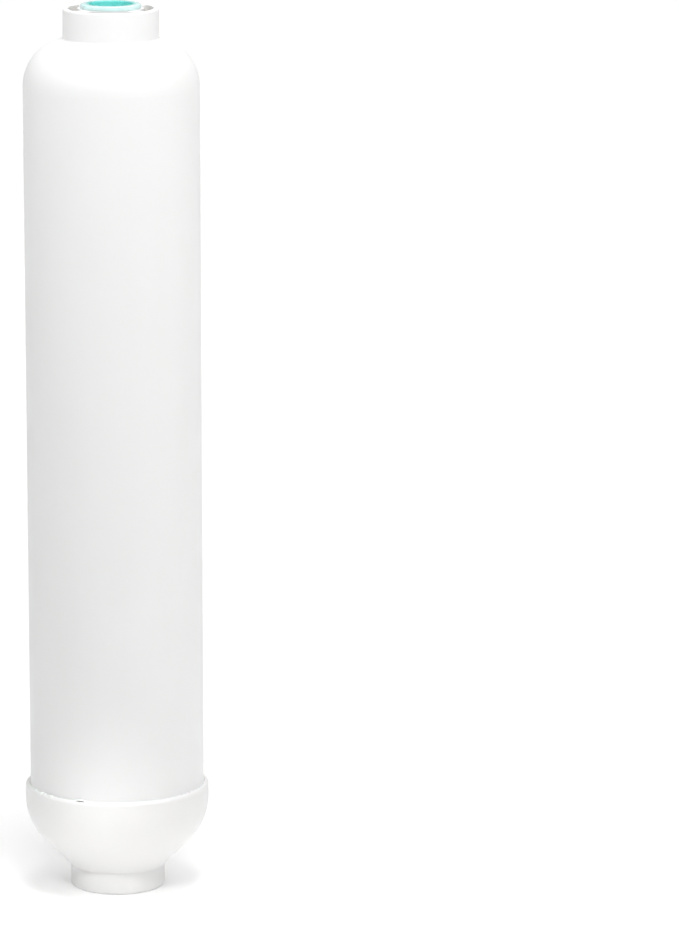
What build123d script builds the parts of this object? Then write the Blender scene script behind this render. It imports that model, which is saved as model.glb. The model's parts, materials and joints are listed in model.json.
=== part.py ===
"""Inline water filter: a sealed two-inch polypropylene canister about 260 mm long, with a female
pipe-threaded port at each end, an inner cartridge of granular carbon and a push-in dust plug.

Units are millimetres. The origin is the centre of the lower port's face, +Z runs along the
canister's axis to the upper port, and the filter stands on its lower port face.
"""
from build123d import *
from math import atan, cos, degrees, radians, sin, sqrt, tan
import os

# ---------------------------------------------------------------- driving dimensions
overall_height = 259.0  # lower port face to upper port face, without the plug

# canister
body_radius = 25.4  # two-inch tube
body_wall = 2.2
dome_radius = 13.85  # section radius of the tube's closed, domed end
upper_boss_height = 8.7

# end cap
cap_rim_stand = 1.45  # how far the cap's rim stands out from the tube
cap_rim_straight = 4.1  # upright band between the cap's rounded shoulder and its seam
cap_overlap = 7.1  # how far the tube goes down inside the rim
cap_dome_radius = 18.0
cap_cone_angle = 45.0  # slope of the cap between its boss and its rounded shoulder
cap_wall = 2.4
lower_boss_height = 6.5
weld_step = 0.3  # the tube is this much smaller inside the cap's rim
weld_gap = 0.05

# ports, the same at both ends
boss_radius = 13.8
lower_edge_round = 0.8
upper_edge_round = 0.4
neck_round = 0.5  # inside corner where each boss meets its dome
recess_radius = 7.8
recess_depth = 3.0
recess_chamfer = 0.4
thread_crest_radius = 5.7
thread_length = 9.5
thread_pitch = 25.4 / 18
thread_mouth_depth = 0.7  # depth of the groove at the mouth, which fades inwards with the taper
thread_taper = 1 / 32  # loss of radius per millimetre of depth
thread_root_width = 0.1
thread_flank_angle = 30.0
thread_lead_chamfer = 0.5
thread_run_over = 0.25  # how far the groove's cutter stands inside the crests
thread_end_gap = 0.05  # plain wall left between each blunt end and the chamfer or relief beside it
relief_depth = 1.2
relief_extra = 0.75  # the relief's radius over the thread's crest radius
passage_radius = 3.5
port_floor = 2.5  # material left between the relief and the space behind it
core_slot_count = 4
boss_wall = 1.5  # outside the core slots
port_tube_wall = 1.7  # between the recess and the core slots
core_slot_depth = 8.5
core_slot_corner = 0.5
core_web_width = 4.0
core_floor = 2.3

# inner cartridge
cartridge_clearance = 0.8  # between the cartridge and the housing's tube
cartridge_wall = 1.2
flange_clearance = 0.6
flange_thickness = 2.0
fit_gap = 0.05  # between pieces that are pushed together
end_ring_height = 5.0  # the part of each cartridge cap that goes inside the tube
end_ring_wall = 1.55
cap_clearance = 0.5  # between the cartridge and the housing's port tubes
spigot_end_gap = 1.0
spigot_bore_radius = 3.0
socket_radius = 7.0
socket_depth = 10.0
socket_chamfer = 0.6
spigot_gap = 0.1
spigot_nose_chamfer = 0.4
seal_height = 1.5  # fitted radial height of each O-ring
seal_width = 2.0
seal_gap = 0.02  # keeps the fitted ring's section just clear of its groove and the socket
seal_count = 2
seal_spacing = 3.6
tip_seal_drop = 2.9  # last O-ring's centre below the spigot's tip
groove_width = 2.3
fin_count = 6
fin_width = 1.4
fin_gap = 0.12
inlet_slot_count = 12
inlet_slot_width = 2.2
inlet_slot_inner_radius = 6.0
inlet_slot_edge = 2.0  # between the slots and the ring that goes inside the tube
rib_count = 8
rib_width = 1.4
rib_height = 1.2

# filter media
media_gap = 0.1  # all round each disc and pad
mesh_thickness = 0.5
screen_thickness = 0.8
screen_hole_radius = 0.8
screen_hole_pitch = 3.2
screen_rim = 1.2  # plain edge outside the outermost ring of holes
felt_thickness = 4.7
foam_thickness = 11.0

# weld flash: a thin lip in the groove between the tube and the cap's rounded rim
flash_height = 0.12  # above the cap's rim
flash_reach = 0.45  # out from the tube
flash_root = 0.24  # thickness against the tube
flash_edge = 0.08  # thickness at its free edge

# plug
plug_flange_reach = 0.9  # beyond the recess, over the port's face
plug_flange_thickness = 1.3
plug_edge_chamfer = 0.35
plug_skirt_gap = 0.05
plug_skirt_depth = 2.6
plug_seat_gap = 0.05
plug_wall = 1.5
plug_floor = 0.9

# ---------------------------------------------------------------- worked-out places
OVERSHOOT = 1.0  # cuts run this far past the face they open
NEAR = 0.01  # edges within this height of a level are at that level
body_bore_radius = body_radius - body_wall
dome_centre_radius = body_radius - dome_radius
dome_rise = sqrt(dome_radius**2 - (boss_radius - dome_centre_radius) ** 2)
shoulder_height = overall_height - upper_boss_height - dome_rise

core_slot_inner_radius = recess_radius + port_tube_wall
core_slot_outer_radius = boss_radius - boss_wall
relief_radius = thread_crest_radius + relief_extra
relief_start = recess_depth + thread_length
relief_end = relief_start + relief_extra + relief_depth
passage_start = relief_end + relief_radius - passage_radius
port_depth = passage_start + port_floor

socket_top = overall_height - port_depth
socket_mouth = socket_top - socket_depth

cap_slope = radians(cap_cone_angle)
cap_rim_radius = body_radius + cap_rim_stand
cap_arc_centre_radius = cap_rim_radius - cap_dome_radius
cap_tangent_radius = cap_arc_centre_radius + cap_dome_radius * cos(cap_slope)
cap_tangent_height = lower_boss_height + (cap_tangent_radius - boss_radius) * tan(cap_slope)
cap_arc_height = cap_tangent_height + cap_dome_radius * sin(cap_slope)
cap_seam_height = cap_arc_height + cap_rim_straight
body_end = cap_seam_height - cap_overlap
cap_inner_arc_radius = cap_dome_radius - cap_wall
cap_inner_tangent_radius = cap_arc_centre_radius + cap_inner_arc_radius * cos(cap_slope)
cap_inner_tangent_height = cap_arc_height - cap_inner_arc_radius * sin(cap_slope)
cap_floor_height = core_slot_depth + core_floor
cap_floor_radius = cap_inner_tangent_radius - (cap_inner_tangent_height - cap_floor_height) / tan(cap_slope)
cap_ledge_rise = sqrt(cap_inner_arc_radius**2 - (body_bore_radius - cap_arc_centre_radius) ** 2)
cap_ledge_height = cap_arc_height - cap_ledge_rise

cartridge_radius = body_bore_radius - cartridge_clearance
flange_radius = body_bore_radius - flange_clearance
cartridge_bore = cartridge_radius - cartridge_wall
end_ring_radius = cartridge_bore - fit_gap
end_ring_bore = end_ring_radius - end_ring_wall
inlet_slot_outer_radius = end_ring_bore - inlet_slot_edge
spigot_radius = socket_radius - spigot_gap
spigot_length = socket_depth + cap_clearance - spigot_end_gap
outlet_flange_top = socket_mouth - cap_clearance
tube_top = outlet_flange_top - flange_thickness
tube_bottom = max(body_end, port_depth + cap_clearance + flange_thickness)
inlet_flange_bottom = tube_bottom - flange_thickness
seal_heights = [
    outlet_flange_top + spigot_length - tip_seal_drop - (seal_count - 1 - seal) * seal_spacing
    for seal in range(seal_count)
]

inlet_mesh_bottom = tube_bottom
inlet_felt_bottom = inlet_mesh_bottom + mesh_thickness
lower_screen_bottom = max(inlet_felt_bottom + felt_thickness, tube_bottom + end_ring_height)
carbon_bottom = lower_screen_bottom + screen_thickness
outlet_mesh_bottom = tube_top - rib_height - mesh_thickness
outlet_felt_bottom = outlet_mesh_bottom - felt_thickness
foam_bottom = min(outlet_felt_bottom, tube_top - end_ring_height) - foam_thickness
upper_screen_bottom = foam_bottom - screen_thickness

plug_seat = overall_height + plug_seat_gap
plug_top = plug_seat + plug_flange_thickness
plug_bottom = plug_seat - plug_skirt_depth
plug_skirt_radius = recess_radius - plug_skirt_gap

UPPER_PORT = Plane(origin=(0, 0, overall_height), x_dir=(1, 0, 0), z_dir=(0, 0, 1))
LOWER_PORT = Plane(origin=(0, 0, 0), x_dir=(1, 0, 0), z_dir=(0, 0, -1))


# ---------------------------------------------------------------- shared features
def cut_port_bore(port):
    """Cuts a port's recess, tapped hole, relief and passage, turned about the port plane's axis."""
    inwards = -port.z_dir
    section = Plane(origin=port.origin, x_dir=port.x_dir, z_dir=port.x_dir.cross(inwards))
    with BuildSketch(section) as bore:
        with BuildLine():
            Polyline(
                (0, -OVERSHOOT),
                (recess_radius + recess_chamfer, -OVERSHOOT),
                (recess_radius + recess_chamfer, 0),
                (recess_radius, recess_chamfer),
                (recess_radius, recess_depth),
                (thread_crest_radius + thread_lead_chamfer, recess_depth),
                (thread_crest_radius, recess_depth + thread_lead_chamfer),
                (thread_crest_radius, relief_start),
                (relief_radius, relief_start + relief_extra),
                (relief_radius, relief_end),
                (passage_radius, passage_start),
                (passage_radius, port_depth + OVERSHOOT),
                (0, port_depth + OVERSHOOT),
                close=True,
            )
        make_face()
    revolve(bore.sketch, axis=Axis(port.origin, port.z_dir), mode=Mode.SUBTRACT)


def cut_thread_groove(port):
    """Cuts the right-hand tapered thread: one V groove along a conical helix, with blunt moulded ends."""
    inwards = -port.z_dir
    cut_depth = thread_mouth_depth + thread_run_over
    half_opening = thread_root_width / 2 + cut_depth * tan(radians(thread_flank_angle))
    plain_end = half_opening + thread_end_gap
    helix_start = port.origin + inwards * (recess_depth + thread_lead_chamfer + plain_end)
    helix = Helix(
        pitch=thread_pitch,
        height=thread_length - thread_lead_chamfer - 2 * plain_end,
        radius=thread_crest_radius + thread_mouth_depth,
        center=helix_start,
        direction=inwards,
        cone_angle=-degrees(atan(thread_taper)),
        mode=Mode.PRIVATE,
    )
    outwards = (helix @ 0 - helix_start).normalized()
    with BuildSketch(Plane(origin=helix @ 0, x_dir=outwards, z_dir=helix % 0)) as groove:
        with BuildLine():
            Polyline(
                (0, thread_root_width / 2),
                (0, -thread_root_width / 2),
                (-cut_depth, -half_opening),
                (-cut_depth, half_opening),
                close=True,
            )
        make_face()
    sweep(groove.sketch, path=helix, is_frenet=True, mode=Mode.SUBTRACT)


def cut_core_slots(port):
    """Cuts the arc-shaped pockets that keep the boss's walls thin, with webs between them."""
    with BuildSketch(port) as pockets:
        Circle(core_slot_outer_radius)
        Circle(core_slot_inner_radius, mode=Mode.SUBTRACT)
        with PolarLocations(core_slot_outer_radius / 2, core_slot_count, start_angle=180 / core_slot_count):
            Rectangle(core_slot_outer_radius, core_web_width, mode=Mode.SUBTRACT)
        fillet(pockets.vertices(), core_slot_corner)
    extrude(pockets.sketch, amount=-core_slot_depth, mode=Mode.SUBTRACT)


def add_disc(radius, bottom, thickness):
    """Adds a flat round disc."""
    with BuildSketch(Plane.XY.offset(bottom)) as outline:
        Circle(radius)
    extrude(outline.sketch, amount=thickness)


def add_ring(outer, inner, bottom, height):
    """Adds a round ring with straight walls."""
    with BuildSketch(Plane.XY.offset(bottom)) as outline:
        Circle(outer)
        Circle(inner, mode=Mode.SUBTRACT)
    extrude(outline.sketch, amount=height)


def add_screen(radius, bottom):
    """Adds a perforated disc: rings of round holes, six more in each ring than in the one inside it."""
    add_disc(radius, bottom, screen_thickness)
    ring_count = int((radius - screen_rim - screen_hole_radius) / screen_hole_pitch)
    with BuildSketch(Plane.XY.offset(bottom)) as holes:
        Circle(screen_hole_radius)
        for ring in range(1, ring_count + 1):
            with PolarLocations(ring * screen_hole_pitch, 6 * ring):
                Circle(screen_hole_radius)
    extrude(holes.sketch, amount=screen_thickness, mode=Mode.SUBTRACT)


# ---------------------------------------------------------------- housing
with BuildPart() as housing_body:
    with BuildSketch(Plane.XZ):
        with BuildLine():
            shoulder = (body_radius, shoulder_height)
            weld_radius = body_radius - weld_step
            neck = (boss_radius, shoulder_height + dome_rise)
            Polyline(
                (body_bore_radius, body_end),
                (weld_radius, body_end),
                (weld_radius, cap_seam_height),
                (body_radius, cap_seam_height),
                shoulder,
            )
            RadiusArc(shoulder, neck, -dome_radius)
            inner_dome = dome_radius - body_wall
            tube_joint_height = shoulder_height + sqrt(
                inner_dome**2 - (core_slot_inner_radius - dome_centre_radius) ** 2
            )
            inner_shoulder = (body_bore_radius, shoulder_height)
            tube_joint = (core_slot_inner_radius, tube_joint_height)
            Polyline(
                neck,
                (boss_radius, overall_height),
                (0, overall_height),
                (0, socket_mouth),
                (core_slot_inner_radius, socket_mouth),
                tube_joint,
            )
            RadiusArc(tube_joint, inner_shoulder, inner_dome)
            Line(inner_shoulder, (body_bore_radius, body_end))
        make_face()
    revolve(axis=Axis.Z)
    rings = housing_body.edges().filter_by(GeomType.CIRCLE)
    fillet(rings.group_by(Axis.Z)[-1], upper_edge_round)
    fillet(rings.filter_by_position(Axis.Z, neck[1] - NEAR, neck[1] + NEAR), neck_round)
    with BuildSketch(Plane.XZ):
        with BuildLine():
            Polyline(
                (0, socket_top),
                (socket_radius, socket_top),
                (socket_radius, socket_mouth + socket_chamfer),
                (socket_radius + socket_chamfer, socket_mouth),
                (socket_radius + socket_chamfer, socket_mouth - OVERSHOOT),
                (0, socket_mouth - OVERSHOOT),
                close=True,
            )
        make_face()
    revolve(axis=Axis.Z, mode=Mode.SUBTRACT)
    cut_core_slots(UPPER_PORT)
    cut_port_bore(UPPER_PORT)
    cut_thread_groove(UPPER_PORT)

with BuildPart() as end_cap:
    rim_thickness = cap_rim_radius - body_radius + weld_step - weld_gap
    with BuildSketch(Plane.XZ):
        with BuildLine():
            lip = rim_thickness / 2
            skirt_radius = cap_rim_radius - rim_thickness
            outer_tangent = (cap_tangent_radius, cap_tangent_height)
            rim_bottom = (cap_rim_radius, cap_arc_height)
            lip_outer = (cap_rim_radius, cap_seam_height - lip)
            lip_inner = (skirt_radius, cap_seam_height - lip)
            inner_ledge = (body_bore_radius, cap_ledge_height)
            inner_tangent = (cap_inner_tangent_radius, cap_inner_tangent_height)
            Polyline((0, 0), (boss_radius, 0), (boss_radius, lower_boss_height), outer_tangent)
            RadiusArc(outer_tangent, rim_bottom, -cap_dome_radius)
            Line(rim_bottom, lip_outer)
            RadiusArc(lip_outer, lip_inner, -lip)
            Polyline(lip_inner, (skirt_radius, body_end), (body_bore_radius, body_end), inner_ledge)
            RadiusArc(inner_ledge, inner_tangent, cap_inner_arc_radius)
            Polyline(
                inner_tangent,
                (cap_floor_radius, cap_floor_height),
                (core_slot_inner_radius, cap_floor_height),
                (core_slot_inner_radius, port_depth),
                (0, port_depth),
                (0, 0),
            )
        make_face()
    revolve(axis=Axis.Z)
    rings = end_cap.edges().filter_by(GeomType.CIRCLE)
    fillet(rings.group_by(Axis.Z)[0], lower_edge_round)
    fillet(rings.filter_by_position(Axis.Z, lower_boss_height - NEAR, lower_boss_height + NEAR), neck_round)
    cut_core_slots(LOWER_PORT)
    cut_port_bore(LOWER_PORT)
    cut_thread_groove(LOWER_PORT)

with BuildPart() as weld_flash:
    flash_inner = body_radius + weld_gap
    flash_outer = flash_inner + flash_reach
    flash_top = cap_seam_height + flash_height
    with BuildSketch(Plane.XZ):
        with BuildLine():
            Polyline(
                (flash_inner, flash_top),
                (flash_inner, flash_top - flash_root),
                (flash_outer, flash_top - flash_edge),
                (flash_outer, flash_top),
                close=True,
            )
        make_face()
    revolve(axis=Axis.Z)

# ---------------------------------------------------------------- inner cartridge
with BuildPart() as cartridge_tube:
    add_ring(cartridge_radius, cartridge_bore, tube_bottom, tube_top - tube_bottom)

with BuildPart() as cartridge_inlet_cap:
    add_disc(flange_radius, inlet_flange_bottom, flange_thickness)
    add_ring(end_ring_radius, end_ring_bore, tube_bottom, end_ring_height)
    slot_length = inlet_slot_outer_radius - inlet_slot_inner_radius
    with BuildSketch(Plane.XY.offset(inlet_flange_bottom)):
        slot_middle = (inlet_slot_outer_radius + inlet_slot_inner_radius) / 2
        with PolarLocations(slot_middle, inlet_slot_count, start_angle=180 / inlet_slot_count):
            SlotOverall(slot_length, inlet_slot_width)
    extrude(amount=flange_thickness, mode=Mode.SUBTRACT)
    with BuildSketch(Plane.XZ):
        fin_inner = core_slot_inner_radius + cap_clearance
        fin_bottom = cap_floor_height + cap_clearance
        fin_toe = cap_floor_radius + cap_clearance / tan(cap_slope) - fin_gap / sin(cap_slope)
        fin_outer = cap_inner_tangent_radius - fin_gap
        with BuildLine():
            Polyline(
                (fin_inner, inlet_flange_bottom),
                (fin_outer, inlet_flange_bottom),
                (fin_outer, fin_bottom + (fin_outer - fin_toe) * tan(cap_slope)),
                (fin_toe, fin_bottom),
                (fin_inner, fin_bottom),
                close=True,
            )
        make_face()
    fin = extrude(amount=fin_width / 2, both=True, mode=Mode.PRIVATE)
    for turn in range(fin_count):
        add(fin.rotate(Axis.Z, turn * 360 / fin_count))

with BuildPart() as cartridge_outlet_cap:
    add_disc(flange_radius, tube_top, flange_thickness)
    add_disc(spigot_radius, outlet_flange_top, spigot_length)
    add_ring(end_ring_radius, end_ring_bore, tube_top - end_ring_height, end_ring_height)
    with BuildSketch(Plane.XY.offset(tube_top - rib_height)):
        rib_inner = spigot_bore_radius + rib_width
        rib_outer = end_ring_bore + end_ring_wall / 2
        with PolarLocations((rib_inner + rib_outer) / 2, rib_count):
            Rectangle(rib_outer - rib_inner, rib_width)
    extrude(amount=rib_height)
    groove_floor = socket_radius - seal_height
    for seal_middle in seal_heights:
        with BuildSketch(Plane.XY.offset(seal_middle - groove_width / 2)):
            Circle(spigot_radius)
            Circle(groove_floor, mode=Mode.SUBTRACT)
        extrude(amount=groove_width, mode=Mode.SUBTRACT)
    with Locations((0, 0, outlet_flange_top)):
        Hole(spigot_bore_radius)
    tip_edges = cartridge_outlet_cap.edges().filter_by(GeomType.CIRCLE).group_by(Axis.Z)[-1]
    chamfer(tip_edges.sort_by(SortBy.RADIUS)[-1], spigot_nose_chamfer)

spigot_seals = []
for seal_middle in seal_heights:
    with BuildPart() as spigot_seal:
        with BuildSketch(Plane.XZ):
            with Locations((socket_radius - seal_height / 2, seal_middle)):
                Ellipse(seal_height / 2 - seal_gap, seal_width / 2)
        revolve(axis=Axis.Z)
    spigot_seals.append(spigot_seal)

# ---------------------------------------------------------------- filter media
with BuildPart() as inlet_mesh:
    add_disc(end_ring_bore - media_gap, inlet_mesh_bottom, mesh_thickness)

with BuildPart() as inlet_felt_pad:
    add_disc(end_ring_bore - media_gap, inlet_felt_bottom, felt_thickness)

with BuildPart() as lower_carbon_screen:
    add_screen(cartridge_bore - media_gap, lower_screen_bottom)

with BuildPart() as carbon_bed:
    add_disc(cartridge_bore - media_gap, carbon_bottom, upper_screen_bottom - carbon_bottom)

with BuildPart() as upper_carbon_screen:
    add_screen(cartridge_bore - media_gap, upper_screen_bottom)

with BuildPart() as expansion_foam_pad:
    add_disc(cartridge_bore - media_gap, foam_bottom, foam_thickness)

with BuildPart() as outlet_felt_pad:
    add_disc(end_ring_bore - media_gap, outlet_felt_bottom, felt_thickness)

with BuildPart() as outlet_mesh:
    add_disc(end_ring_bore - media_gap, outlet_mesh_bottom, mesh_thickness)

# ---------------------------------------------------------------- dust plug
with BuildPart() as port_plug:
    add_disc(recess_radius + plug_flange_reach, plug_seat, plug_flange_thickness)
    add_disc(plug_skirt_radius, plug_bottom, plug_skirt_depth)
    with BuildSketch(Plane.XY.offset(plug_bottom + plug_floor)):
        Circle(plug_skirt_radius - plug_wall)
    extrude(amount=plug_top - plug_bottom, mode=Mode.SUBTRACT)
    outer_edges = port_plug.edges().filter_by(GeomType.CIRCLE).group_by(SortBy.RADIUS)[-1]
    chamfer(outer_edges.sort_by(Axis.Z)[-1], plug_edge_chamfer)

# ---------------------------------------------------------------- export
pieces = {
    "housing_body": housing_body,
    "end_cap": end_cap,
    "weld_flash": weld_flash,
    "cartridge_tube": cartridge_tube,
    "cartridge_inlet_cap": cartridge_inlet_cap,
    "cartridge_outlet_cap": cartridge_outlet_cap,
    "spigot_seal_lower": spigot_seals[0],
    "spigot_seal_upper": spigot_seals[1],
    "inlet_mesh": inlet_mesh,
    "inlet_felt_pad": inlet_felt_pad,
    "lower_carbon_screen": lower_carbon_screen,
    "carbon_bed": carbon_bed,
    "upper_carbon_screen": upper_carbon_screen,
    "expansion_foam_pad": expansion_foam_pad,
    "outlet_felt_pad": outlet_felt_pad,
    "outlet_mesh": outlet_mesh,
    "port_plug": port_plug,
}
os.makedirs("parts", exist_ok=True)
for name, piece in pieces.items():
    piece.part.label = name
    export_step(piece.part, f"parts/{name}.step")
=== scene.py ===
"""Inline water filter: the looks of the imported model, in metres, in the model's own frame.

The canister, its cap, the seals and the rigid cartridge pieces stay as packed and get their materials
here. The plug, weld bead, felt pads, foam pad, mesh discs and carbon bed are detailed meshes that
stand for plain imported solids.
"""
import json
import random
from math import ceil, cos, hypot, pi, radians, sin, sqrt, tau

import bpy
from mathutils import Euler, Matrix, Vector, noise

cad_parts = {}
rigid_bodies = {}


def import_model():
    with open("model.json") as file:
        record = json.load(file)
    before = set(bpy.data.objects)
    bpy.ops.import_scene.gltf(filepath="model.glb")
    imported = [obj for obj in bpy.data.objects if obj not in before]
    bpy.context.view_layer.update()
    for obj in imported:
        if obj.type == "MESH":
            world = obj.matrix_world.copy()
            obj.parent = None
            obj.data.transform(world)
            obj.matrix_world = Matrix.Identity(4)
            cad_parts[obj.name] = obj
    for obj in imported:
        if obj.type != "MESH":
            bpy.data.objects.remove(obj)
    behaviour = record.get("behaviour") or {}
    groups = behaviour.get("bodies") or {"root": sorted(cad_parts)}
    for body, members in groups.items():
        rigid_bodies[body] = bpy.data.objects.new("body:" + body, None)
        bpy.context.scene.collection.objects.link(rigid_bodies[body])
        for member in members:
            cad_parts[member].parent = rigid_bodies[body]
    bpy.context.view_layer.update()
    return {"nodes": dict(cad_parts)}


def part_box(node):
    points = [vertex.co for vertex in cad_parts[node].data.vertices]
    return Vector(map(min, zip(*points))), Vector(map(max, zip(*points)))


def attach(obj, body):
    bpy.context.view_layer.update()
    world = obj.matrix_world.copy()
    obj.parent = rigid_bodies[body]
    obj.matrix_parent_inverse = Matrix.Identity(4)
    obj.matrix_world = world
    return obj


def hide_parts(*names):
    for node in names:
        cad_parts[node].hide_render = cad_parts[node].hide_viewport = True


for left_over in list(bpy.data.objects):
    bpy.data.objects.remove(left_over)

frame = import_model()

MM = 0.001
AXIS = Vector((0, 0, 1))


# ---------------------------------------------------------------- places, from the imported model
def reach(node):
    """How far a round node stands out from the canister's axis."""
    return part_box(node)[1].x


def low(node):
    """Height of a node's lowest point."""
    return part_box(node)[0].z


def high(node):
    """Height of a node's highest point."""
    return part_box(node)[1].z


def clamp(value, least, most):
    """The value, kept between least and most."""
    return min(max(value, least), most)


TUBE_RADIUS = reach("housing_body")
UPPER_FACE = high("housing_body")
LOWER_FACE = low("end_cap")
SEAM = high("end_cap")

PLUG_SKIRT = 7.75 * MM  # outer radius of the part that goes into the port
PLUG_CUP = 6.25 * MM  # radius of its hollow
PLUG_FLANGE = 1.3 * MM  # thickness
PLUG_FLOOR = 0.9 * MM  # thickness

# ---------------------------------------------------------------- camera
CAMERA_PITCH = radians(11.89)
CAMERA_RIGHT = 65.3 * MM
CAMERA_BACK = 1564.6 * MM
CAMERA_HEIGHT = 454.3 * MM
CAMERA_LENS = 211.8
CAMERA_SENSOR = 36.0
CAMERA_NEAR = 0.05
CAMERA_FAR = 200


def add_camera():
    """Looks level across and a little down, with the filter at the left of the view."""
    data = bpy.data.cameras.new("camera")
    data.lens = CAMERA_LENS
    data.sensor_width = CAMERA_SENSOR
    data.clip_start = CAMERA_NEAR
    data.clip_end = CAMERA_FAR
    camera = bpy.data.objects.new("camera", data)
    camera.location = (CAMERA_RIGHT, -CAMERA_BACK, LOWER_FACE + CAMERA_HEIGHT)
    camera.rotation_euler = (pi / 2 - CAMERA_PITCH, 0, 0)
    bpy.context.scene.collection.objects.link(camera)
    bpy.context.scene.camera = camera


# ---------------------------------------------------------------- studio
ROOM_LIGHT = 0.37
FLOOR_LIGHT = 0.33
FLOOR_LIGHT_NEAR = 0.14  # less round the filter, whose underside it would light too brightly
FLOOR_NEAR = 0.1  # distances from the filter between which the floor's light rises
FLOOR_FAR = 0.9
FLOOR_REACH = 60.0

SHOULDER = (0, 0, UPPER_FACE - 0.04)
TOP = (0, 0, UPPER_FACE)
MIDDLE = (0, 0, (UPPER_FACE + LOWER_FACE) / 2)

# name, place, what it faces, diameter in metres, watts
SOFTBOXES = (
    ("top_light", (0.05, -0.22, 1.1), TOP, 0.35, 4.7),
    ("key_light", (0.08, -0.3, 0.45), TOP, 0.3, 0.3),
    ("left_light", (-0.12, -0.09, 0.34), SHOULDER, 0.14, 0.055),
    ("right_light", (0.25, -0.15, 0.4), SHOULDER, 0.2, 0.13),
    ("side_light", (0.8, -0.1, 0.12), MIDDLE, 0.5, 0.35),
    ("back_light", (0.2, 1.6, 2.2), (0.2, 1.4, 0), 3.0, 24.0),
)

# the spot that lifts the lower boss out of the cap's shade
FOOT_LIGHT_PLACE = (-0.06, -0.35, 0.36)
FOOT_LIGHT_AIM = (0, -0.012, LOWER_FACE)
FOOT_LIGHT_WATTS = 7.5
FOOT_LIGHT_SHAPE = {"spot_size": radians(4.6), "spot_blend": 1.0, "shadow_soft_size": 0.02}


def add_lamp(kind, name, place, aim, watts, **settings):
    """A lamp at a place, facing a point, that the camera doesn't see. Its shape is in settings."""
    data = bpy.data.lights.new(name, kind)
    data.energy = watts
    for setting, value in settings.items():
        setattr(data, setting, value)
    lamp = bpy.data.objects.new(name, data)
    lamp.location = place
    lamp.rotation_euler = (Vector(aim) - Vector(place)).to_track_quat("-Z", "Y").to_euler()
    lamp.visible_camera = False
    bpy.context.scene.collection.objects.link(lamp)


def add_studio():
    """A white room's even light, soft lights all round the filter's front, and a lit floor."""
    world = bpy.data.worlds.new("studio")
    world.use_nodes = True
    background = world.node_tree.nodes["Background"]
    background.inputs["Color"].default_value = (1, 1, 1, 1)
    background.inputs["Strength"].default_value = ROOM_LIGHT
    bpy.context.scene.world = world
    for name, place, aim, size, watts in SOFTBOXES:
        add_lamp("AREA", name, place, aim, watts, shape="DISK", size=size)
    foot = (FOOT_LIGHT_PLACE, FOOT_LIGHT_AIM, FOOT_LIGHT_WATTS)
    add_lamp("SPOT", "foot_light", *foot, **FOOT_LIGHT_SHAPE)
    scene = bpy.context.scene
    scene.view_settings.view_transform = "Standard"
    scene.view_settings.look = "None"

    mesh = bpy.data.meshes.new("floor")
    square = ((-1, -1), (1, -1), (1, 1), (-1, 1))
    corners = [(x * FLOOR_REACH, y * FLOOR_REACH, LOWER_FACE) for x, y in square]
    mesh.from_pydata(corners, [], [(0, 1, 2, 3)])
    floor = bpy.data.objects.new("floor", mesh)
    scene.collection.objects.link(floor)
    paper = Surface("floor_paper", {"Specular IOR Level": 0.2, "Emission Color": (1, 1, 1, 1)})
    glow = paper.range(paper.from_axis(), FLOOR_NEAR, FLOOR_FAR, FLOOR_LIGHT_NEAR, FLOOR_LIGHT)
    paper.tree.links.new(glow, paper.shader.inputs["Emission Strength"])
    grain = paper.noise(900, detail=3)
    paper.colour(grain, (0.955, 0.955, 0.955), (0.975, 0.975, 0.975))
    paper.roughness(grain, 0.8, 0.95)
    paper.bump((grain, 0.05 * MM))
    mesh.materials.append(paper.material)


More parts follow.
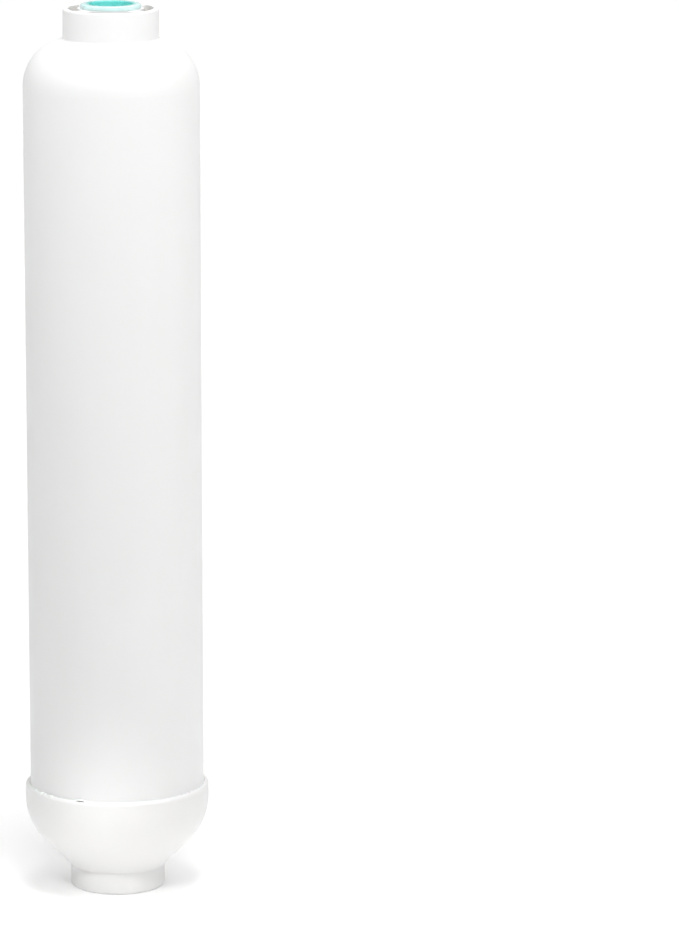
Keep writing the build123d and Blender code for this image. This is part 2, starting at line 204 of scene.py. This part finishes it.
# ---------------------------------------------------------------- materials
class Surface:
    """A Principled material. Numbers that are the same all over are set on the shader's own sockets."""

    def __init__(self, name, constants):
        self.material = bpy.data.materials.new(name)
        self.material.use_nodes = True
        self.tree = self.material.node_tree
        self.shader = self.tree.nodes["Principled BSDF"]
        for socket, value in constants.items():
            self.shader.inputs[socket].default_value = value
        self.place = self.node("ShaderNodeTexCoord").outputs["Object"]

    def node(self, kind, inputs=(), **settings):
        """Adds a node. Each input is (socket, value or another node's output)."""
        made = self.tree.nodes.new(kind)
        for key, value in settings.items():
            setattr(made, key, value)
        for socket, value in inputs:
            if isinstance(value, bpy.types.NodeSocket):
                self.tree.links.new(value, made.inputs[socket])
            else:
                made.inputs[socket].default_value = value
        return made

    def noise(self, scale, detail=2.0, rough=0.5, stretch=(1, 1, 1), warp=0.0):
        """Noise with about `scale` lumps a metre, drawn out along the axes by `stretch`."""
        spread = [("Vector", self.place), ("Scale", [1 / s for s in stretch])]
        mapped = self.node("ShaderNodeMapping", spread).outputs["Vector"]
        sockets = [("Vector", mapped), ("Scale", scale), ("Detail", detail)]
        sockets += [("Roughness", rough), ("Distortion", warp)]
        return self.node("ShaderNodeTexNoise", sockets).outputs["Fac"]

    def cells(self, scale, feature="F1"):
        """Distance to the nearest of about `scale` points a metre."""
        sockets = [("Vector", self.place), ("Scale", scale)]
        return self.node("ShaderNodeTexVoronoi", sockets, feature=feature).outputs["Distance"]

    def range(self, factor, start, end, low_value=0.0, high_value=1.0):
        """Eases from low_value to high_value as factor goes from start to end."""
        sockets = [("Value", factor), ("From Min", start), ("From Max", end)]
        sockets += [("To Min", low_value), ("To Max", high_value)]
        made = self.node("ShaderNodeMapRange", sockets, interpolation_type="SMOOTHSTEP")
        return made.outputs["Result"]

    def times(self, a, b):
        """The product of two numbers or outputs."""
        return self.node("ShaderNodeMath", [(0, a), (1, b)], operation="MULTIPLY").outputs[0]

    def blend(self, factor, first, second):
        """A colour between two, where either may be a colour or another node's output."""
        made = self.node("ShaderNodeMix", data_type="RGBA")
        for index, value in ((0, factor), (6, first), (7, second)):
            if isinstance(value, bpy.types.NodeSocket):
                self.tree.links.new(value, made.inputs[index])
            else:
                made.inputs[index].default_value = (*value, 1)
        return made.outputs[2]

    def colour(self, factor, first, second):
        """Colours the surface from first to second, and gives the colour back."""
        mixed = self.blend(self.range(factor, 0.3, 0.7), first, second)
        self.tree.links.new(mixed, self.shader.inputs["Base Color"])
        return mixed

    def tint(self, colour, factor, second):
        """Tints the surface's colour with a second one where factor is high."""
        mixed = self.blend(factor, colour, second)
        self.tree.links.new(mixed, self.shader.inputs["Base Color"])
        return mixed

    def roughness(self, factor, smooth, rough):
        """Makes the surface rougher where factor is high."""
        made = self.range(factor, 0.3, 0.7, smooth, rough)
        self.tree.links.new(made, self.shader.inputs["Roughness"])

    def bump(self, *layers):
        """Each layer is (height from 0 to 1, its depth in metres)."""
        normal = None
        for height, depth in layers:
            sockets = [("Height", height), ("Distance", depth), ("Strength", 1.0)]
            if normal:
                sockets.append(("Normal", normal))
            normal = self.node("ShaderNodeBump", sockets).outputs["Normal"]
        self.tree.links.new(normal, self.shader.inputs["Normal"])

    def from_axis(self):
        """Distance from the canister's axis."""
        sockets = [(0, self.place), (1, (1, 1, 0))]
        flat = self.node("ShaderNodeVectorMath", sockets, operation="MULTIPLY")
        length = self.node("ShaderNodeVectorMath", [(0, flat.outputs[0])], operation="LENGTH")
        return length.outputs["Value"]

    def height(self):
        """Height in the model's frame, at rest."""
        return self.node("ShaderNodeSeparateXYZ", [("Vector", self.place)]).outputs["Z"]


# the painted port shade fades between these radii, in the wall just outside the core pockets
SHADE_FADE_OUTER = 12.45 * MM
SHADE_FADE_INNER = 12.36 * MM


def moulded(name, pale, warm, port_shade_depth, gloss=0.0):
    """White satin polypropylene, with flow marks, resin specks and scuffs.

    Inside the port and its core pockets it carries painted shade, warmer and darker, more so from the
    first of the two given port heights to the second.
    """
    made = Surface(
        name,
        {
            "IOR": 1.49,
            "Specular IOR Level": 0.42,
            "Subsurface Weight": 0.12,
            "Subsurface Radius": (1.0, 0.95, 0.88),
            "Subsurface Scale": 1.6 * MM,
        },
    )
    flow = made.noise(26, detail=3, stretch=(1, 1, 5), warp=0.6)
    colour = made.colour(flow, pale, warm)
    speck = made.range(made.cells(150), 0.045, 0.02)
    rare = made.times(speck, made.range(made.noise(40), 0.58, 0.7))
    colour = made.tint(colour, made.times(rare, 0.35), (0.55, 0.5, 0.42))
    # painted shade: further in from the face, the port and core pockets turn a darker warm beige
    inside = made.range(made.from_axis(), SHADE_FADE_OUTER, SHADE_FADE_INNER)
    depth = made.range(made.height(), *port_shade_depth)
    made.tint(colour, made.times(made.times(inside, depth), 0.75), (0.84, 0.73, 0.6))
    haze = made.noise(70, detail=4, rough=0.6)
    scuff = made.noise(420, detail=2, stretch=(1, 1, 0.06), warp=0.3)
    scuffs = made.times(made.range(scuff, 0.66, 0.72), made.range(haze, 0.5, 0.62))
    base = made.range(haze, 0.3, 0.7, 0.4 - gloss, 0.52 - gloss)
    rough = made.node("ShaderNodeMath", [(0, base), (1, made.times(scuffs, 0.16))], operation="ADD")
    made.tree.links.new(rough.outputs[0], made.shader.inputs["Roughness"])
    satin = made.noise(2600, detail=2)
    ripple = made.noise(45, detail=1, stretch=(1, 1, 3))
    made.bump((ripple, 0.07 * MM), (satin, 0.007 * MM), (scuffs, 0.012 * MM))
    return made.material


def weld_plastic():
    """The same plastic after melting: glossier, with ripples where it set."""
    made = Surface(
        "weld_plastic",
        {"IOR": 1.49, "Subsurface Weight": 0.2, "Subsurface Scale": 1.0 * MM, "Coat Weight": 0.25},
    )
    lumps = made.noise(900, detail=2)
    made.colour(lumps, (0.95, 0.95, 0.945), (0.91, 0.905, 0.89))
    made.roughness(lumps, 0.14, 0.3)
    made.bump((lumps, 0.05 * MM))
    return made.material


def plug_plastic():
    """Soft turquoise polyethylene, deep in the cup, with a painted highlight that turns the flange pale.
    """
    seat = high("port_plug") - PLUG_FLANGE
    made = Surface(
        "plug_plastic",
        {
            "IOR": 1.51,
            "Subsurface Weight": 0.4,
            "Subsurface Radius": (0.6, 1.0, 0.95),
            "Subsurface Scale": 1.2 * MM,
            "Coat Weight": 0.3,
        },
    )
    drift = made.noise(180, detail=3, warp=0.4)
    colour = made.colour(drift, (0.16, 0.64, 0.61), (0.22, 0.71, 0.68))
    worn = made.range(made.noise(1300, detail=2, stretch=(1, 1, 0.3)), 0.62, 0.74)
    colour = made.tint(colour, made.times(worn, 0.25), (0.5, 0.85, 0.82))
    # painted highlight: the flange's colour washes out towards white, as if overexposed by the light
    # from above
    wide = made.range(made.from_axis(), PLUG_CUP + 0.2 * MM, PLUG_SKIRT)
    flange = made.times(wide, made.range(made.height(), seat - 0.5 * MM, seat + 0.1 * MM))
    made.tint(colour, made.times(flange, 0.85), (0.78, 0.945, 0.94))
    made.roughness(drift, 0.22, 0.38)
    made.bump((made.noise(2400, detail=2), 0.008 * MM))
    return made.material


def natural_plastic(name, pale, dull):
    """Unpainted, slightly see-through moulded polypropylene for the inner pieces."""
    made = Surface(
        name,
        {
            "IOR": 1.49,
            "Specular IOR Level": 0.45,
            "Subsurface Weight": 0.3,
            "Subsurface Scale": 1.5 * MM,
        },
    )
    flow = made.noise(60, detail=3, stretch=(1, 1, 3), warp=0.5)
    colour = made.colour(flow, pale, dull)
    dust = made.range(made.noise(700, detail=3, rough=0.7), 0.6, 0.75)
    made.tint(colour, made.times(dust, 0.25), (0.3, 0.3, 0.3))
    made.roughness(flow, 0.32, 0.5)
    made.bump((made.noise(3000, detail=2), 0.01 * MM), (made.noise(90, detail=1), 0.05 * MM))
    return made.material


def seal_rubber():
    """Black rubber with a dry bloom and a trace of grease."""
    made = Surface("seal_rubber", {"IOR": 1.5, "Sheen Weight": 0.15, "Specular IOR Level": 0.4})
    bloom = made.noise(700, detail=4, rough=0.65)
    made.colour(bloom, (0.012, 0.012, 0.013), (0.03, 0.03, 0.032))
    made.roughness(made.noise(300, detail=2), 0.35, 0.7)
    made.bump((made.noise(3500, detail=2), 0.015 * MM))
    return made.material


def nylon():
    """Translucent nylon thread."""
    made = Surface("mesh_nylon", {"IOR": 1.53, "Subsurface Weight": 0.3, "Subsurface Scale": 0.4 * MM})
    drift = made.noise(400, detail=2)
    made.colour(drift, (0.86, 0.86, 0.84), (0.78, 0.77, 0.73))
    made.roughness(drift, 0.3, 0.5)
    made.bump((made.noise(6000, detail=1), 0.01 * MM))
    return made.material


def felt_fibre():
    """Matted polyester fibre, with a few darker and yellower patches."""
    made = Surface("felt", {"Sheen Weight": 0.5, "Sheen Roughness": 0.6, "Specular IOR Level": 0.25})
    mat = made.noise(1400, detail=5, rough=0.7, warp=1.2)
    colour = made.colour(mat, (0.72, 0.7, 0.64), (0.9, 0.89, 0.85))
    patch = made.range(made.noise(90, detail=2), 0.52, 0.72)
    made.tint(colour, made.times(patch, 0.35), (0.7, 0.65, 0.54))
    made.roughness(mat, 0.8, 1.0)
    made.bump((mat, 0.12 * MM), (made.noise(5000, detail=3, stretch=(4, 1, 1)), 0.05 * MM))
    return made.material


def carbon():
    """Crushed activated carbon: dull black faces, a few of them glinting."""
    made = Surface("carbon", {"IOR": 1.6, "Specular IOR Level": 0.45})
    grain = made.noise(900, detail=4, rough=0.7)
    colour = made.colour(grain, (0.008, 0.008, 0.009), (0.035, 0.034, 0.033))
    ash = made.range(made.cells(480), 0.16, 0.08)
    made.tint(colour, made.times(ash, 0.35), (0.12, 0.12, 0.115))
    made.roughness(made.noise(420, detail=2), 0.35, 0.85)
    made.bump((made.noise(4200, detail=4, rough=0.7), 0.08 * MM))
    return made.material


def open_cell_foam():
    """Off-white polyester foam, with painted shade that makes the bottoms of its cells darker and
    yellower.
    """
    made = Surface(
        "foam",
        {"Sheen Weight": 0.2, "Subsurface Weight": 0.25, "Subsurface Scale": 1.0 * MM},
    )
    drift = made.noise(240, detail=3)
    colour = made.colour(drift, (0.74, 0.72, 0.64), (0.8, 0.78, 0.71))
    pit_depth_and_shade = made.range(made.cells(900, "DISTANCE_TO_EDGE"), 0.02, 0.14)
    # painted shade: the cell pits are tinted darker and yellower
    made.tint(colour, made.times(pit_depth_and_shade, 0.45), (0.56, 0.51, 0.4))
    made.roughness(drift, 0.7, 0.95)
    made.bump((pit_depth_and_shade, -0.1 * MM))
    return made.material


# ---------------------------------------------------------------- mesh building
class Build:
    """Vertices and faces of one piece, gathered shape by shape."""

    def __init__(self):
        self.vertices = []
        self.faces = []

    def grid(self, rows, closed_columns=False):
        """Quads between closed rows of points. A row of one point closes to a fan."""
        starts = []
        for row in rows:
            starts.append(len(self.vertices))
            self.vertices += row
        pairs = list(zip(range(len(rows) - 1), range(1, len(rows))))
        if closed_columns:
            pairs.append((len(rows) - 1, 0))
        for a, b in pairs:
            count = max(len(rows[a]), len(rows[b]))
            for i in range(count):
                corners = []
                for row, step in ((a, i), (a, i + 1), (b, i + 1), (b, i)):
                    corner = starts[row] + step % len(rows[row])
                    if corner not in corners:
                        corners.append(corner)
                self.faces.append(corners)

    def thread(self, points, radius, sides):
        """A thin closed tube along a line of points, blunt at both ends."""
        rows = []
        for i, point in enumerate(points):
            along = (points[min(i + 1, len(points) - 1)] - points[max(i - 1, 0)]).normalized()
            side = along.cross(AXIS if abs(along.z) < 0.9 else Vector((1, 0, 0))).normalized()
            up = side.cross(along)
            turns = [tau * k / sides for k in range(sides)]
            rows.append([point + side * (cos(t) * radius) + up * (sin(t) * radius) for t in turns])
        self.grid([[points[0]], *rows, [points[-1]]])

    def piece(self, name, smooth=True):
        mesh = bpy.data.meshes.new(name)
        mesh.from_pydata([tuple(v) for v in self.vertices], [], self.faces)
        mesh.validate()
        if smooth:
            mesh.shade_smooth()
        made = bpy.data.objects.new(name, mesh)
        bpy.context.scene.collection.objects.link(made)
        return made


def finish_piece(piece, node, material):
    """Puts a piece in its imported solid's stead, on the canister."""
    piece.data.materials.append(material)
    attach(piece, "canister")
    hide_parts(node)
    return piece


def pad_outline(radius, bottom, top, edge, step):
    """(radius, height, outward normal) round a pad's half section, from its bottom to its top."""
    outline = []
    flats = ceil((radius - edge) / step)
    for i in range(1, flats + 1):
        outline.append(((radius - edge) * i / flats, bottom, (0, -1)))
    turns = ceil(edge * pi / 2 / step)
    for i in range(1, turns + 1):
        t = pi / 2 * i / turns
        outline.append((radius - edge + edge * sin(t), bottom + edge - edge * cos(t), (sin(t), -cos(t))))
    walls = ceil((top - bottom - 2 * edge) / step)
    for i in range(1, walls):
        outline.append((radius, bottom + edge + (top - bottom - 2 * edge) * i / walls, (1, 0)))
    mirrored = [(r, top + bottom - z, (n[0], -n[1])) for r, z, n in reversed(outline[: flats + turns])]
    return outline + mirrored


def pad(build, node, edge, step, columns, sink):
    """A round pad inside a packed disc, whose surface sinks in by sink(place)."""
    bottom, top = low(node), high(node)
    rows = []
    for r, z, (out, up) in pad_outline(reach(node), bottom, top, edge, step):
        row = []
        for i in range(columns):
            turn = tau * i / columns
            away = Vector((cos(turn), sin(turn), 0))
            place = away * r + AXIS * z
            depth = sink(place)
            row.append(place - (away * out + AXIS * up) * depth)
        rows.append(row)
    centres = [[Vector((0, 0, sum(p.z for p in row) / columns))] for row in (rows[0], rows[-1])]
    build.grid([centres[0], *rows, centres[1]])


# ---------------------------------------------------------------- weld bead
BEAD_TURNS = 1440
BEAD_SIDES = 12
BEAD_HALF_WIDTH = 0.46 * MM
BEAD_OVER = 0.15 * MM  # how far it stands up from the seam
BEAD_UNDER = 0.75 * MM  # how far it reaches down into the groove behind the rim
BEAD_THINNEST = 0.06 * MM
BEAD_LUMPS = ((radians(-148), radians(26), 1.0), (radians(-32), radians(14), 0.7))
SLIVER_TURN = radians(-112)
SLIVER_SPREAD = radians(6.5)
SLIVER_GAP = 0.36 * MM  # the dark gap under the sliver that has lifted


def weld_bead():
    """The plastic squeezed out of the spin weld: uneven, lumpy on the left, lifted in one place."""
    rows = []
    for i in range(BEAD_TURNS):
        turn = tau * i / BEAD_TURNS
        side = Vector((cos(turn), sin(turn), 0))
        fine = noise.noise(side * 28)
        coarse = noise.noise(side * 9 + AXIS * 5)
        lumpy = sum(size * swell(turn, middle, spread) for middle, spread, size in BEAD_LUMPS)
        lift = swell(turn, SLIVER_TURN, SLIVER_SPREAD)
        lump = lumpy * max(0.0, 0.35 + 1.3 * fine + 0.5 * coarse)
        width = BEAD_HALF_WIDTH + (0.08 * fine + 0.08 * coarse + 0.75 * lump + 0.3 * lift) * MM
        over = BEAD_OVER + (0.05 * fine + 0.04 * coarse + 0.32 * lump + 0.5 * lift) * MM
        under = SLIVER_GAP * lift - BEAD_UNDER * (1 - lift)
        middle = SEAM + (over + under) / 2
        half = max((over - under) / 2, BEAD_THINNEST)
        row = []
        for k in range(BEAD_SIDES):
            t = tau * k / BEAD_SIDES
            row.append(side * (TUBE_RADIUS + cos(t) * width) + AXIS * (middle + sin(t) * half))
        rows.append(row)
    build = Build()
    build.grid(rows, closed_columns=True)
    finish_piece(build.piece("weld_bead"), "weld_flash", weld_plastic())


def swell(turn, middle, half_width):
    """1 at the middle angle, easing to 0 at half_width either side."""
    apart = abs((turn - middle + pi) % tau - pi)
    return max(0.0, cos(min(apart / half_width, 1) * pi / 2)) ** 2


# ---------------------------------------------------------------- plug
PLUG_TURNS = 288
CORNER_STEPS = 6


def rounded(corners):
    """A half section whose (radius, height, rounding) corners are turned into smooth curves."""
    outline = []
    for i, (r, z, rounding) in enumerate(corners):
        if rounding == 0:
            outline.append((r, z))
            continue
        corner = Vector((r, z))
        before = corner + (Vector(corners[i - 1][:2]) - corner).normalized() * rounding
        after = corner + (Vector(corners[i + 1][:2]) - corner).normalized() * rounding
        for k in range(CORNER_STEPS + 1):
            t = k / CORNER_STEPS
            point = before * (1 - t) ** 2 + corner * (2 * t * (1 - t)) + after * t**2
            outline.append((point.x, point.y))
    return outline


def plug_cup():
    """The push-in plug: a thin-walled cup with a round-edged flange over the port's face."""
    flange = reach("port_plug")
    top, bottom = high("port_plug"), low("port_plug")
    seat = top - PLUG_FLANGE
    floor = bottom + PLUG_FLOOR
    corners = [
        (PLUG_SKIRT, bottom, 0.4 * MM),
        (PLUG_SKIRT, seat, 0),
        (flange, seat, 0.2 * MM),
        (flange, top, 0.5 * MM),
        (PLUG_CUP, top, 0.35 * MM),
        (PLUG_CUP, floor, 0.5 * MM),
    ]
    ends = [(0, bottom, 0), *corners, (0, floor, 0)]
    rows = []
    for r, z in rounded(ends)[1:-1]:
        turns = [tau * i / PLUG_TURNS for i in range(PLUG_TURNS)]
        rows.append([Vector((cos(t) * r, sin(t) * r, z)) for t in turns])
    build = Build()
    build.grid([[Vector((0, 0, bottom))], *rows, [Vector((0, 0, floor))]])
    cup = build.piece("plug_cup")
    cup.data.materials.append(plug_plastic())
    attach(cup, "plug")
    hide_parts("port_plug")


# ---------------------------------------------------------------- felt and foam
FELT_SLACK = 0.16 * MM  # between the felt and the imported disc's faces
FELT_EDGE = 0.9 * MM
FELT_STEP = 0.55 * MM
FELT_COLUMNS = 150
FIBRE_RADIUS = 0.035 * MM
FIBRE_SIDES = 4
FIBRE_COUNT = 1100
FIBRE_STEPS = 6
FIBRE_SHORTEST_STEP = 0.05 * MM
FIBRE_MARGIN = 0.8 * MM  # kept from the felt's edges
RIM_SHARE = 0.3  # of the fibres


def loose_fibre(dice, radius, bottom, top):
    """A line of points that wanders over a felt disc's rim, or over one of its faces."""
    turn = dice.uniform(0, tau)
    heading = dice.uniform(0, tau)
    stride = dice.uniform(0.35, 0.75) * MM
    on_rim = dice.random() < RIM_SHARE
    out = sqrt(dice.random()) * (radius - 1.2 * MM)
    height = clamp(dice.uniform(bottom, top), bottom + FELT_EDGE, top - FELT_EDGE)
    face, inwards = (top, -1) if dice.random() < 0.5 else (bottom, 1)
    flat = Vector((cos(turn) * out, sin(turn) * out, 0))
    points = []
    for _ in range(FIBRE_STEPS):
        heading += dice.uniform(-0.7, 0.7)
        if on_rim:
            turn += cos(heading) * stride / radius
            height += sin(heading) * stride * 0.5
            height = clamp(height, bottom + FIBRE_MARGIN, top - FIBRE_MARGIN)
            away = radius - FELT_SLACK + dice.uniform(-0.12, 0.1) * MM
            points.append(Vector((cos(turn) * away, sin(turn) * away, height)))
        else:
            flat += Vector((cos(heading), sin(heading), 0)) * stride
            if flat.length > radius - FIBRE_MARGIN:
                flat *= (radius - FIBRE_MARGIN) / flat.length
            off = FELT_SLACK + dice.uniform(-0.1, 0.12) * MM
            points.append(flat + AXIS * (face + inwards * off))
    return points


def felt_pad(name, node, seed):
    """A disc cut from thick felt, with loose fibres lying over it."""
    dice = random.Random(seed)
    build = Build()

    def sink(place):
        wave = noise.noise(place * 210 + AXIS * seed) * 0.14 + noise.noise(place * 1100) * 0.1
        return FELT_SLACK + (0.1 + wave) * MM

    pad(build, node, FELT_EDGE, FELT_STEP, FELT_COLUMNS, sink)
    disc = (reach(node), low(node), high(node))
    for _ in range(FIBRE_COUNT):
        points = loose_fibre(dice, *disc)
        shortest = min((b - a).length for a, b in zip(points, points[1:]))
        if shortest > FIBRE_SHORTEST_STEP:
            build.thread(points, FIBRE_RADIUS, FIBRE_SIDES)
    piece = finish_piece(build.piece(name), node, FELT)


FOAM_CELL = 1.5 * MM
FOAM_EDGE = 0.8 * MM
FOAM_STEP = 0.32 * MM
FOAM_COLUMNS = 400


def foam_pad():
    """Reticulated foam: the disc's whole surface is broken by open cells."""
    build = Build()

    def sink(place):
        near = noise.voronoi(place / FOAM_CELL)[0]
        pit = max(0.0, 1 - near[0] / 0.62)
        return (0.08 + 0.75 * pit**0.7 + 0.1 * noise.noise(place * 160)) * MM

    pad(build, "expansion_foam_pad", FOAM_EDGE, FOAM_STEP, FOAM_COLUMNS, sink)
    piece = finish_piece(build.piece("foam_disc"), "expansion_foam_pad", open_cell_foam())


# ---------------------------------------------------------------- mesh discs
THREAD_PITCH = 1.0 * MM
THREAD_RADIUS = 0.12 * MM
THREAD_SIDES = 5
THREAD_WAVE = 0.1 * MM
THREAD_SAMPLES = 4  # along each pitch
THREAD_INTO_RIM = 0.3 * MM
SEAL_RIM = 1.0 * MM
SEAL_TURNS = 240
SEAL_SIDES = 8
SEAL_PINCHES = 120  # the marks that the sealing tool leaves round the rim
SEAL_PINCH_DEPTH = 0.16
SEAL_FILL = 0.9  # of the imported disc's thickness


def woven_thread(half_length, offset, phase, level, lengthways):
    """A thread's line, which goes over and under the threads that it crosses."""
    steps = ceil(2 * half_length / THREAD_PITCH * THREAD_SAMPLES)
    points = []
    for i in range(steps + 1):
        along = -half_length + 2 * half_length * i / steps
        wave = THREAD_WAVE * cos(pi * (along / THREAD_PITCH + phase))
        x, y = (along, offset) if lengthways else (offset, along)
        points.append(Vector((x, y, level + wave)))
    return points


def seal_rim(build, radius, middle, thickness):
    """The heat-sealed rim, pinched all the way round."""
    rows = []
    for i in range(SEAL_TURNS):
        turn = tau * i / SEAL_TURNS
        side = Vector((cos(turn), sin(turn), 0))
        pinch = 1 - SEAL_PINCH_DEPTH * abs(sin(SEAL_PINCHES / 2 * turn))
        half_high = thickness / 2 * SEAL_FILL * pinch
        row = []
        for k in range(SEAL_SIDES):
            t = tau * k / SEAL_SIDES
            r = radius - SEAL_RIM / 2 + cos(t) * SEAL_RIM / 2
            row.append(side * r + AXIS * (middle + sin(t) * half_high))
        rows.append(row)
    build.grid(rows, closed_columns=True)


def woven_disc(name, node):
    """Plain-woven nylon mesh, heat-sealed round its rim."""
    radius = reach(node)
    middle = (low(node) + high(node)) / 2
    inner = radius - SEAL_RIM
    build = Build()
    count = int(inner / THREAD_PITCH)
    for way in (0, 1):
        for k in range(-count, count + 1):
            offset = k * THREAD_PITCH
            half = sqrt(max((inner + THREAD_INTO_RIM) ** 2 - offset**2, 0))
            points = woven_thread(half, offset, k + way, middle, way)
            build.thread(points, THREAD_RADIUS, THREAD_SIDES)
    seal_rim(build, radius, middle, high(node) - low(node))
    piece = finish_piece(build.piece(name), node, NYLON)


# ---------------------------------------------------------------- carbon bed
GRAIN = 1.9 * MM
GRAIN_CORNERS = [(x, y, z) for x in (-1, 1) for y in (-1, 1) for z in (-1, 1)]
GRAIN_FACES = [(0, 1, 3, 2), (4, 6, 7, 5), (0, 4, 5, 1), (2, 3, 7, 6), (0, 2, 6, 4), (1, 5, 7, 3)]
GRAIN_LAYER_STEP = 0.86  # of a grain, between layers up the bed's side
CORE_INSET = 1.0 * MM
CORE_SIDES = 96


def dark_core(build, radius, bottom, top):
    """A plain cylinder under the grains, which closes the gaps between them."""
    rows = []
    for z in (bottom + CORE_INSET, top - CORE_INSET):
        turns = [tau * i / CORE_SIDES for i in range(CORE_SIDES)]
        rows.append([Vector((cos(t), sin(t), 0)) * (radius - CORE_INSET) + AXIS * z for t in turns])
    build.grid([[AXIS * (bottom + CORE_INSET)], *rows, [AXIS * (top - CORE_INSET)]])


def grain_places(dice, radius, bottom, top):
    """Centres of the grains that show: up the bed's side, and in rings over both of its ends."""
    half = GRAIN / 2
    places = []
    layers = int((top - bottom - GRAIN) / (GRAIN * GRAIN_LAYER_STEP))
    per_layer = int(tau * (radius - half) / GRAIN)
    for layer in range(layers + 1):
        z = bottom + half + (top - bottom - GRAIN) * layer / layers
        for i in range(per_layer):
            turn = tau * (i + layer % 2 / 2 + dice.uniform(-0.3, 0.3)) / per_layer
            r = radius - half - dice.uniform(0, 0.35) * MM
            height = z + dice.uniform(-0.25, 0.25) * half
            places.append(Vector((cos(turn) * r, sin(turn) * r, height)))
    rings = int((radius - GRAIN) / GRAIN)
    for z in (bottom + half, top - half):
        for ring in range(rings + 1):
            count = max(1, int(tau * ring))
            for i in range(count):
                turn = tau * (i + dice.uniform(-0.3, 0.3)) / count
                places.append(Vector((cos(turn), sin(turn), 0)) * (ring * GRAIN) + AXIS * z)
    return places


def carbon_grains():
    """A packed bed of crushed granules over a dark core."""
    node = "carbon_bed"
    dice = random.Random(11)
    radius, bottom, top = reach(node), low(node), high(node)
    build = Build()
    dark_core(build, radius, bottom, top)
    for place in grain_places(dice, radius, bottom, top):
        size = Vector([GRAIN / 2 * dice.uniform(0.62, 0.9) for _ in range(3)])
        turned = Euler([dice.uniform(0, tau) for _ in range(3)]).to_matrix()
        start = len(build.vertices)
        for corner in GRAIN_CORNERS:
            chipped = Vector([c * s * dice.uniform(0.55, 0.95) for c, s in zip(corner, size)])
            point = place + turned @ chipped
            point.z = clamp(point.z, bottom, top)
            out = hypot(point.x, point.y)
            if out > radius:
                point.x *= radius / out
                point.y *= radius / out
            build.vertices.append(point)
        build.faces += [[start + i for i in face] for face in GRAIN_FACES]
    finish_piece(build.piece("carbon_grains", smooth=False), node, carbon())


# ---------------------------------------------------------------- the scene
def dress(node, material):
    """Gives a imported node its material, and keeps its own shape."""
    for place in frame["nodes"][node].material_slots:
        place.material = material


add_camera()
add_studio()

PORT_SHADE = 7 * MM  # how far in the ports take on their full painted shade
PORT_EDGE = 0.3 * MM
# heights over which the painted shade in each port deepens
UPPER_PAINTED_SHADE = (UPPER_FACE - PORT_EDGE, UPPER_FACE - PORT_SHADE)
LOWER_PAINTED_SHADE = (LOWER_FACE + PORT_EDGE, LOWER_FACE + PORT_SHADE)
HOUSING = moulded("housing_plastic", (0.87, 0.87, 0.87), (0.855, 0.855, 0.85), UPPER_PAINTED_SHADE)
END_CAP = moulded("end_cap_plastic", (0.865, 0.862, 0.856), (0.845, 0.84, 0.832), LOWER_PAINTED_SHADE, 0.06)
dress("housing_body", HOUSING)
dress("end_cap", END_CAP)
CARTRIDGE = natural_plastic("cartridge_plastic", (0.84, 0.86, 0.87), (0.78, 0.8, 0.81))
SCREEN = natural_plastic("screen_plastic", (0.78, 0.79, 0.79), (0.7, 0.71, 0.71))
SEAL = seal_rubber()
for node in ("cartridge_tube", "cartridge_inlet_cap", "cartridge_outlet_cap"):
    dress(node, CARTRIDGE)
for node in ("lower_carbon_screen", "upper_carbon_screen"):
    dress(node, SCREEN)
for node in ("spigot_seal_lower", "spigot_seal_upper"):
    dress(node, SEAL)

FELT = felt_fibre()
NYLON = nylon()
plug_cup()
weld_bead()
woven_disc("inlet_woven_mesh", "inlet_mesh")
felt_pad("inlet_felt", "inlet_felt_pad", 3)
carbon_grains()
foam_pad()
felt_pad("outlet_felt", "outlet_felt_pad", 7)
woven_disc("outlet_woven_mesh", "outlet_mesh")

bpy.context.view_layer.update()
